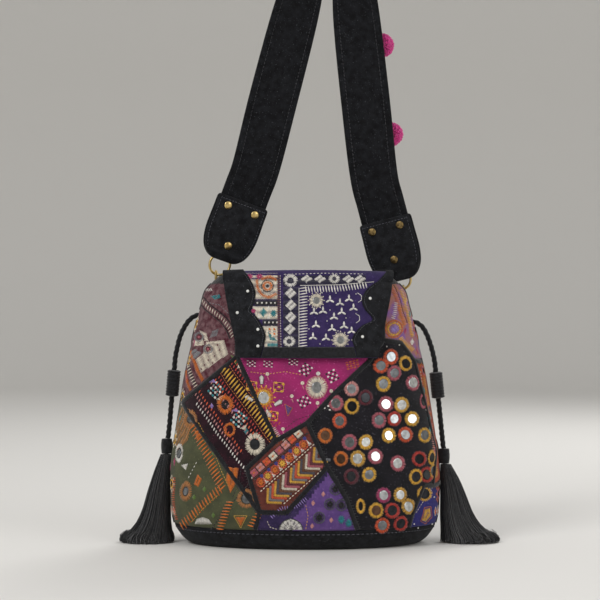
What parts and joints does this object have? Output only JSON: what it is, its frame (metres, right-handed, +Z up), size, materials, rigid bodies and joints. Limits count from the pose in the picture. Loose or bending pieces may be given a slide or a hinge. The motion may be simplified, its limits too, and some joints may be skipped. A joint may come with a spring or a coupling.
{
  "type": "potli bag",
  "caption": "Oval patchwork potli bag with mirror work, drawstring tassels, a fold-over flap and a wide shoulder strap hung from brass rings.",
  "frame": {"origin": "middle of the base's underside, on the floor", "axes": "+Z up, front with the flap towards -Y, +X to the right seen from the front"},
  "size_m": [0.379, 0.15, 0.6678],
  "materials": {
    "black_suede": "matte napped",
    "black_cotton": "matte",
    "strap_webbing": "matte napped",
    "board": "matte",
    "foundation_cloth": "matte",
    "lining_cloth": "soft sheen",
    "cream_maroon_cloth": "matte embroidered",
    "dark_maroon_cloth": "matte embroidered",
    "magenta_cloth": "matte embroidered",
    "black_mirror_cloth": "matte with sewn-on mirrors",
    "olive_cloth": "matte embroidered",
    "chevron_cloth": "matte embroidered",
    "purple_cloth": "matte embroidered",
    "lilac_cloth": "matte embroidered",
    "orange_cloth": "satin stitched",
    "blue_cloth": "matte embroidered",
    "teal_cloth": "matte embroidered",
    "ochre_cloth": "matte embroidered",
    "brass": "satin",
    "pink_wool": "matte tufted"
  },
  "bodies": {
    "bag": {"base_cover": "black_suede", "base_board": "board", "foundation_shell": "foundation_cloth", "lining": "lining_cloth", "rim_binding": "black_cotton", "patch_floral": "cream_maroon_cloth", "patch_rung_band": "dark_maroon_cloth", "patch_magenta": "magenta_cloth", "patch_mirror": "black_mirror_cloth", "patch_olive": "olive_cloth", "patch_chevron": "chevron_cloth", "patch_purple": "purple_cloth", "patch_lilac": "lilac_cloth", "patch_side_strip": "orange_cloth", "patch_blue": "blue_cloth", "patch_back_teal": "teal_cloth", "patch_back_maroon": "dark_maroon_cloth", "patch_back_ochre": "ochre_cloth", "patch_back_violet": "purple_cloth", "drawstring_left": "black_cotton", "drawstring_right": "black_cotton", "strand_left_front": "black_cotton", "strand_left_back": "black_cotton", "strand_right_front": "black_cotton", "strand_right_back": "black_cotton", "tassel_cap_left": "black_cotton", "tassel_cap_right": "black_cotton", "tassel_left": "black_cotton", "tassel_right": "black_cotton", "flap_yoke": "black_suede", "snap_socket": "brass", "side_ring_left": "brass", "side_ring_right": "brass", "side_tab_left": "black_suede", "side_tab_right": "black_suede"},
    "flap": {"flap_panel": "purple_cloth", "flap_side_left": "black_suede", "flap_side_right": "black_suede", "flap_bottom_band": "black_cotton", "snap_stud": "brass"},
    "strap": {"strap": "strap_webbing", "strap_tab_left": "black_suede", "strap_tab_right": "black_suede", "round_ring_left": "brass", "round_ring_right": "brass", "rivet_left_1": "brass", "rivet_left_2": "brass", "rivet_left_3": "brass", "rivet_right_1": "brass", "rivet_right_2": "brass", "rivet_right_3": "brass", "pompom_1": "pink_wool", "pompom_2": "pink_wool", "pompom_3": "pink_wool", "pompom_4": "pink_wool"},
    "slider_left": {"slider_left": "black_suede"},
    "slider_right": {"slider_right": "black_suede"}
  },
  "joints": [
    {"name": "flap_open", "type": "hinge", "parent": "bag", "child": "flap", "pos_m": [0, 0.003, 0.2715], "axis": [-1, 0, 0], "range_deg": [0, 90]},
    {"name": "strap_swing", "type": "hinge", "parent": "bag", "child": "strap", "pos_m": [-0.09, 0.024, 0.268], "axis": [-0.9969, 0, 0.0789], "range_deg": [0, 40]},
    {"name": "slide_left", "type": "slide", "parent": "bag", "child": "slider_left", "axis": [0.0857, 0, 0.9963], "range_m": [-0.024, 0.01]},
    {"name": "slide_right", "type": "slide", "parent": "bag", "child": "slider_right", "axis": [-0.0995, 0, 0.995], "range_m": [-0.024, 0.01]}
  ]
}
